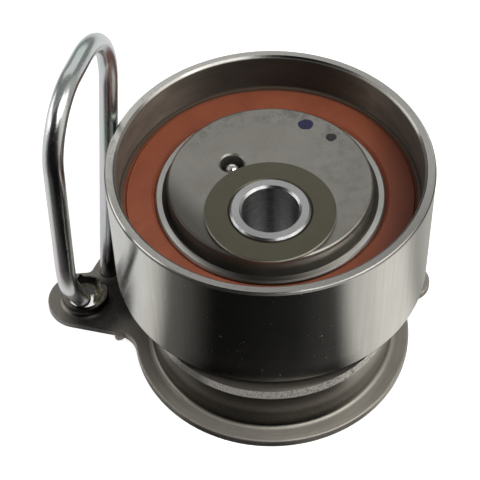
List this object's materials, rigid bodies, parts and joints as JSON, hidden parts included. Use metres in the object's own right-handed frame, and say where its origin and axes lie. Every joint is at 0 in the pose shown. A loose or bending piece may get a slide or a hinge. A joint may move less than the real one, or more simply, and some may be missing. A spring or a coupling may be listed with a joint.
{
  "type": "timing belt tensioner pulley",
  "caption": "Plain steel belt tensioner pulley on a ball bearing and an eccentric hub, over a drawn base plate with an ear, held by a bent wire lock pin.",
  "frame": {"origin": "centre of the pivot bore in the plane of the mounting face", "axes": "+Z along the bore axis, from the mounting face towards the pulley's open front; the pulley's axis is offset from it along +Y; the ear with the lock pin points to -X"},
  "size_m": [0.0766, 0.0647, 0.0686],
  "materials": {
    "phosphated_steel": "satin",
    "ground_steel": "satin",
    "bearing_steel": "satin",
    "sintered_steel": "satin",
    "sheared_steel": "satin",
    "zinc_wire": "gloss",
    "spring_steel": "satin",
    "olive_steel": "satin",
    "seal_rubber": "matte",
    "cage_plastic": "satin",
    "bush_plastic": "satin",
    "bush_bronze": "satin"
  },
  "bodies": {
    "base": {"base_plate": "phosphated_steel", "rear_disc": "phosphated_steel", "pivot_sleeve": "bearing_steel", "rear_washer": "bush_plastic", "spring_bush": "bush_plastic", "torsion_spring": "spring_steel", "wear_ring": "bush_plastic", "top_washer": "olive_steel"},
    "eccentric": {"eccentric_hub": "sintered_steel", "hub_dowel": "bearing_steel", "pivot_bush": "bush_bronze", "arm_plate": "sheared_steel", "spacer_ring": "bearing_steel", "bearing_inner_ring": "bearing_steel"},
    "pulley": {"pulley_drum": "ground_steel", "bearing_outer_ring": "bearing_steel", "front_seal": "seal_rubber", "rear_seal": "seal_rubber"},
    "ball_train": {"bearing_cage": "cage_plastic", "bearing_balls": "bearing_steel"},
    "pin": {"lock_pin": "zinc_wire"}
  },
  "joints": [
    {"name": "hub_swing", "type": "hinge", "parent": "base", "child": "eccentric", "pos_m": [0, 0, 0], "axis": [0, 0, 1], "range_deg": [-30, 0], "stiffness_Nm_per_rad": 0.1, "springref_deg": 34.38, "deforming": ["torsion_spring"]},
    {"name": "pulley_spin", "type": "hinge", "parent": "eccentric", "child": "pulley", "pos_m": [0, 0.0078, 0], "axis": [0, 0, 1], "continuous": true},
    {"name": "cage_spin", "type": "hinge", "parent": "eccentric", "child": "ball_train", "pos_m": [0, 0.0078, 0], "axis": [0, 0, 1], "continuous": true},
    {"name": "pin_pull", "type": "slide", "parent": "base", "child": "pin", "axis": [0.0756, 0.141, 0.9871], "range_m": [0, 0.04]}
  ],
  "couplings": [
    {"joint": "cage_spin", "follows": "pulley_spin", "ratio": 0.5716}
  ]
}
